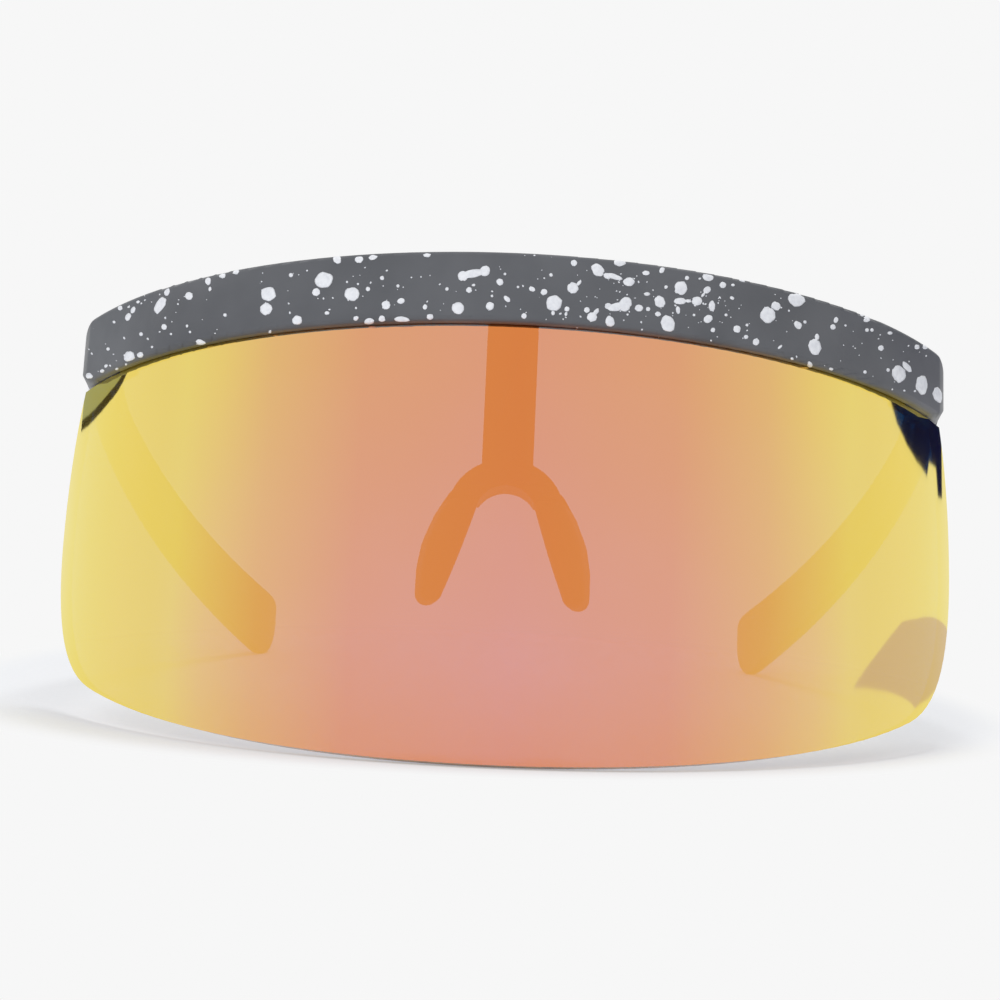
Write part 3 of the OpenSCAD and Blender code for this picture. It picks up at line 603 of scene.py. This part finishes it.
# clusters of the finest drops: middle pixel x and y, half width and half height, how many
mist = {
    "spots": [(170, 315, 50, 24, 26), (108, 358, 22, 16, 12), (330, 292, 70, 26, 24),
              (470, 290, 80, 24, 24), (590, 296, 50, 26, 26), (670, 302, 60, 26, 48),
              (760, 315, 50, 26, 26), (850, 345, 60, 26, 24), (915, 372, 26, 22, 10)],
    "radius": (0.45, 1.2),    # pixels, smallest and biggest
    "fewBig": 2,              # power that makes the big ones rare
    "stretch": 0.6,           # how much longer than wide, at the most
    "seed": 11,
}

armPaint = {
    "count": 60,             # drops on each arm, most of them near the hinge
    "radius": (0.2, 1.3),    # mm, smallest and biggest
    "fewBig": 4,             # power that makes the big ones rare
    "stretch": 0.5,          # how much longer than wide, at the most
    "fewLong": 2,            # power that makes the long ones rare
    "crowding": 1.6,         # power that gathers them near the hinge
    "outlineStep": 2.9,      # as for the bar's drops
    "start": 120.0,          # mm from the middle, from where they are thrown
    "outward": 0.8,          # how squarely the arm faces the side where they land
    "seed": 4,
}


def surfaceOf(piece):
    # a copy of the piece's faces that can be asked for the place nearest to another
    shape = bmesh.new()
    shape.from_mesh(piece.data)
    tree = BVHTree.FromBMesh(shape)
    shape.free()
    return tree


def roundDrop(segments, rings):
    # a unit ball, which each drop stretches and lays on the surface
    shape = bmesh.new()
    bmesh.ops.create_uvsphere(shape, u_segments=segments, v_segments=rings, radius=1.0)
    mesh = bpy.data.meshes.new("roundDrop")
    shape.to_mesh(mesh)
    shape.free()
    return mesh


bigDrop = roundDrop(*drops["big"])
smallDrop = roundDrop(*drops["small"])


def addDrop(shape, tree, place, side, rise, radius, stretch, turn, salt):
    before = len(shape.verts)
    shape.from_mesh(bigDrop if radius > drops["bigFrom"] * mm else smallDrop)
    shape.verts.ensure_lookup_table()
    thick = drops["thickness"] * mm * min(1.0, drops["thinnest"] + radius / (drops["fullSize"] * mm))
    longest = radius * math.sqrt(stretch)
    widest = radius / math.sqrt(stretch)
    c, s = math.cos(turn), math.sin(turn)
    rate = drops["wobbles"]
    for v in shape.verts[before:]:
        angle = math.atan2(v.co.y, v.co.x)
        stray = noise.noise(Vector((rate * math.cos(angle), rate * math.sin(angle), salt)))
        wobble = 1 + drops["wobble"] * stray
        along, across = v.co.x * longest * wobble, v.co.y * widest * wobble
        flat = place + side * (along * c - across * s) + rise * (along * s + across * c)
        spot, spotNormal, _, _ = tree.find_nearest(flat)
        v.co = spot + spotNormal * (v.co.z * thick)


def landingPlace(tree, px, py):
    # where a drop seen at a pixel sits on the bar, or the bar's nearest edge if it just misses
    ray = lookThrough(px, py)
    place, normal, _, _ = tree.ray_cast(eye, ray)
    if place is not None:
        return place, normal
    gap = tree.find_nearest(eye)[3]
    passing = eye + ray * gap
    for _ in range(drops["rounds"]):
        place, normal, _, _ = tree.find_nearest(passing)
        passing = eye + ray * (place - eye).dot(ray)
    return (place, normal) if (place - passing).length < drops["reach"] * mm else (None, None)


def finishDrops(shape, pieceName, body):
    mesh = bpy.data.meshes.new(pieceName)
    shape.to_mesh(mesh)
    shape.free()
    mesh.polygons.foreach_set("use_smooth", [True] * len(mesh.polygons))
    mesh.materials.append(paintDrops)
    piece = bpy.data.objects.new(pieceName, mesh)
    scene.collection.objects.link(piece)
    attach(piece, body)


def throwPaint():
    tree = surfaceOf(brow)
    shape = bmesh.new()
    dice = random.Random(mist["seed"])
    spots = [spot for group in dropSpots.values() for spot in group]
    named = len(spots)
    small, big = mist["radius"]
    for px, py, wide, high, count in mist["spots"]:
        for _ in range(count):
            spots.append((px + wide * dice.uniform(-1, 1), py + high * dice.uniform(-1, 1),
                          small + (big - small) * dice.random() ** mist["fewBig"],
                          1 + mist["stretch"] * dice.random(), dice.uniform(0, 180)))
    landed = 0
    for index, (px, py, radius, stretch, turn) in enumerate(spots):
        place, normal = landingPlace(tree, px, py)
        if place is None or (index >= named and normal.y > -drops["towardsFront"]):
            continue
        landed += 1
        ray = (place - eye).normalized()
        slant = min(ray.dot(normal), -drops["flattest"])
        side = cameraTurn.to_3x3() @ Vector((1, 0, 0))
        rise = cameraTurn.to_3x3() @ Vector((0, 1, 0))
        side, rise = [way - ray * (way.dot(normal) / slant) for way in (side, rise)]
        metresPerPixel = (place - eye).length / view["focalPixels"]
        addDrop(shape, tree, place, side, rise, radius * metresPerPixel, stretch,
                math.radians(turn), index * drops["outlineStep"])
    print("paint drops on the bar:", landed, "of", len(spots))
    finishDrops(shape, "paintDropsBar", "front")


def throwArmPaint(arm, nodeName, pieceName, body, side):
    tree = surfaceOf(arm)
    dice = random.Random(armPaint["seed"] + side)
    low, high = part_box(nodeName)
    small, big = armPaint["radius"]
    shape = bmesh.new()
    for index in range(armPaint["count"]):
        start = Vector((side * armPaint["start"] * mm,
                        low.y + (high.y - low.y) * dice.random() ** armPaint["crowding"],
                        low.z + (high.z - low.z) * dice.random()))
        radius = small + (big - small) * dice.random() ** armPaint["fewBig"]
        stretch = 1 + armPaint["stretch"] * dice.random() ** armPaint["fewLong"]
        turn = dice.random() * math.pi
        place, normal, _, _ = tree.ray_cast(start, Vector((-side, 0, 0)))
        if place is None or normal.x * side < armPaint["outward"]:
            continue
        along = Vector((0, 1, 0))
        along = (along - normal * along.dot(normal)).normalized()
        addDrop(shape, tree, place, along, normal.cross(along), radius * mm, stretch, turn,
                index * armPaint["outlineStep"])
    finishDrops(shape, pieceName, body)


throwPaint()
throwArmPaint(armLeft, "temple_left", "paintDropsArmLeft", "arm_left", -1)
throwArmPaint(armRight, "temple_right", "paintDropsArmRight", "arm_right", 1)
for mesh in (bigDrop, smallDrop):
    bpy.data.meshes.remove(mesh)
print("paint thrown")


# stage: room, floor, lamps and what the mirror shows of the room

studio = {
    "backdrop": "#f7f7f7",
    # painted light: the paper is tinted cold to cancel the lens's warm bounce and turn its shade bluish
    "paper": ("#f2f4f8", "#f5f7fb"),
    "fibreSize": 1.2,       # mm, of the paper's fibres
    "worldLight": 0.6,      # how much of the light comes from all round
    "floorSize": 6.0,       # m
    "nearGlow": 0.32,       # how much of the floor's own shade is lifted close to the glasses
    "shadeMiddle": (-0.0054, 0.005, 0),   # m, the middle of the shaded part of the floor
    "fade": (0.092, 0.106),         # m from there, where the floor fades into the backdrop
    "backShare": 0.62,      # how much of the way back counts, so that the shade reaches further there
}

lamps = {   # soft round lamps, all in metres and watts
    "topLamp": {"place": (0.05, 0.2, 0.86), "aim": (0, -0.05, 0.03), "size": 0.28, "watts": 2.6},
    "frontLamp": {"place": (-0.4, -0.8, 0.45), "aim": (0, 0, 0.05), "size": 0.8, "watts": 2.6},
}

# the lower edge of the wall on the left, where the lens mirrors it
wallEdge = [(129, 368), (127, 373), (123, 382), (118, 391), (113, 398), (107, 405), (101, 412),
            (94, 420), (88, 426), (81, 432)]

# Cards round the table, given by pixels on the lens where their edge is mirrored. "away" is how far
# off they stand in m, and "rise" in m makes a wall that goes up from that edge, 0 a closed outline.
cards = {
    "darkCurtain": {"color": "#16175a", "away": 0.8, "rise": 0.35, "edge": [
        (889, 396), (891, 402), (897, 423), (907, 445), (917, 462), (927, 476), (929, 462),
        (936, 468), (938, 497), (942, 499)]},
    "greyWall": {"color": "#a8b0b4", "away": 0.81, "rise": 0.35, "edge": wallEdge},
    "wallFoot": {"color": "#474238", "away": 0.8, "rise": 0.0055, "edge": wallEdge},
    "paleBox": {"color": "#ddd0f7", "away": 0.8, "rise": 0, "edge": [
        (902, 622), (917, 619), (946, 627), (951, 650), (947, 670), (939, 686), (928, 699),
        (915, 708), (910, 702), (897, 695), (877, 690), (853, 688), (867, 667), (880, 650),
        (893, 633)]},
}


def seenShare(owner):
    # 1 for what the camera sees straight, in a mirror or through the lens, and 0 for light that falls
    path = addNode(owner, "ShaderNodeLightPath")
    seen = addNode(owner, "ShaderNodeMath", {"operation": "MAXIMUM"},
                   {0: path.outputs["Is Camera Ray"], 1: path.outputs["Is Glossy Ray"]})
    seenToo = addNode(owner, "ShaderNodeMath", {"operation": "MAXIMUM"},
                      {0: seen.outputs["Value"], 1: path.outputs["Is Transmission Ray"]})
    return seenToo.outputs["Value"]


def makeWorld():
    world = bpy.data.worlds.new("studioWorld")
    scene.world = world
    world.use_nodes = True
    world.node_tree.nodes.clear()
    light = addNode(world, "ShaderNodeBackground", None,
                    {"Color": hexColor("#ffffff"), "Strength": studio["worldLight"]})
    shown = addNode(world, "ShaderNodeBackground", None,
                    {"Color": hexColor(studio["backdrop"]), "Strength": 1.0})
    both = addNode(world, "ShaderNodeMixShader", None,
                   {0: seenShare(world), 1: light.outputs["Background"],
                    2: shown.outputs["Background"]})
    addNode(world, "ShaderNodeOutputWorld", None, {"Surface": both.outputs["Shader"]})


def makeFloor():
    # Paper sweep, tinted cold as painted light that cancels the warm light the lens throws on it and cools
    # its shade. It takes the shadow close to the glasses and fades into the backdrop.
    material = newMaterial("paperSweep")
    place = addNode(material, "ShaderNodeTexCoord").outputs["Object"]
    moved = addNode(material, "ShaderNodeVectorMath", {"operation": "SUBTRACT"},
                    {0: place, 1: studio["shadeMiddle"]})
    axes = addNode(material, "ShaderNodeSeparateXYZ", None, {"Vector": moved.outputs["Vector"]})
    backward = addNode(material, "ShaderNodeMath", {"operation": "MULTIPLY"},
                       {0: axes.outputs["Y"], 1: studio["backShare"]})
    along = addNode(material, "ShaderNodeMath", {"operation": "MINIMUM"},
                    {0: axes.outputs["Y"], 1: backward.outputs["Value"]})
    way = addNode(material, "ShaderNodeCombineXYZ", None,
                  {"X": axes.outputs["X"], "Y": along.outputs["Value"]})
    length = addNode(material, "ShaderNodeVectorMath", {"operation": "LENGTH"}, {0: way.outputs["Vector"]})
    far = addNode(material, "ShaderNodeMapRange", {"interpolation_type": "SMOOTHSTEP"},
                  {"Value": length.outputs["Value"], "From Min": studio["fade"][0],
                   "From Max": studio["fade"][1], "To Min": studio["nearGlow"], "To Max": 1.0})
    fibre = addNode(material, "ShaderNodeTexNoise", None,
                    {"Vector": place, "Scale": 1 / (studio["fibreSize"] * mm), "Detail": 2.0})
    color = addNode(material, "ShaderNodeValToRGB",
                    {"stops": [(0.3, studio["paper"][0]), (0.7, studio["paper"][1])]},
                    {"Fac": fibre.outputs["Fac"]})
    matt = addNode(material, "ShaderNodeBsdfDiffuse", None, {"Color": color.outputs["Color"]})
    share = addNode(material, "ShaderNodeMath", {"operation": "MULTIPLY"},
                    {0: far.outputs["Result"], 1: seenShare(material)})
    glow = addNode(material, "ShaderNodeEmission", None,
                   {"Color": hexColor(studio["backdrop"]), "Strength": 1.0})
    both = addNode(material, "ShaderNodeMixShader", None,
                   {0: share.outputs["Value"], 1: matt.outputs["BSDF"], 2: glow.outputs["Emission"]})
    addNode(material, "ShaderNodeOutputMaterial", None, {"Surface": both.outputs["Shader"]})
    shape = bmesh.new()
    bmesh.ops.create_grid(shape, x_segments=2, y_segments=2, size=studio["floorSize"] / 2)
    finishStage(shape, "floor", material)


def finishStage(shape, name, material):
    mesh = bpy.data.meshes.new(name)
    shape.to_mesh(mesh)
    shape.free()
    mesh.materials.append(material)
    piece = bpy.data.objects.new(name, mesh)
    scene.collection.objects.link(piece)
    return piece


def mirroredPlace(px, py, away):
    # follows the view ray to the lens and on from there, to a place that the lens mirrors
    ray = lookThrough(px, py)
    flatRay = ray - upAxis * ray.dot(upAxis)
    flatGap = (eye - lensAxis) - upAxis * (eye - lensAxis).dot(upAxis)
    a = flatRay.dot(flatRay)
    b = flatRay.dot(flatGap)
    c = flatGap.dot(flatGap) - (lens["radius"] * mm) ** 2
    spot = eye + ray * ((-b - math.sqrt(b * b - a * c)) / a)
    outward = outwardAt(spot)
    return spot + (ray - outward * 2 * ray.dot(outward)) * away


def addCard(name, card):
    # stands only in the mirror: no light comes from it and no shadow
    material = newMaterial(name)
    tone = addNode(material, "ShaderNodeEmission", None, {"Color": hexColor(card["color"]), "Strength": 1.0})
    addNode(material, "ShaderNodeOutputMaterial", None, {"Surface": tone.outputs["Emission"]})
    shape = bmesh.new()
    corners = [shape.verts.new(mirroredPlace(px, py, card["away"])) for px, py in card["edge"]]
    edges = [shape.edges.new(pair) for pair in zip(corners, corners[1:])]
    if card["rise"]:
        grown = bmesh.ops.extrude_edge_only(shape, edges=edges)["geom"]
        top = [part for part in grown if isinstance(part, bmesh.types.BMVert)]
        bmesh.ops.translate(shape, verts=top, vec=(0, 0, card["rise"]))
    else:
        edges.append(shape.edges.new((corners[-1], corners[0])))
        bmesh.ops.triangle_fill(shape, edges=edges, use_beauty=True)
    piece = finishStage(shape, name, material)
    piece.visible_camera = False
    piece.visible_diffuse = False
    piece.visible_transmission = False
    piece.visible_shadow = False


def addLamp(name, lamp):
    data = bpy.data.lights.new(name, "AREA")
    data.shape = "DISK"
    data.size = lamp["size"]
    data.energy = lamp["watts"]
    light = bpy.data.objects.new(name, data)
    scene.collection.objects.link(light)
    turn = (Vector(lamp["aim"]) - Vector(lamp["place"])).to_track_quat("-Z", "Y").to_matrix().to_4x4()
    light.matrix_world = Matrix.Translation(lamp["place"]) @ turn
    light.visible_glossy = False   # the mirror shows only the plain white room and its cards


makeWorld()
makeFloor()
for name, card in cards.items():
    addCard(name, card)
for name, lamp in lamps.items():
    addLamp(name, lamp)
print("stage set")
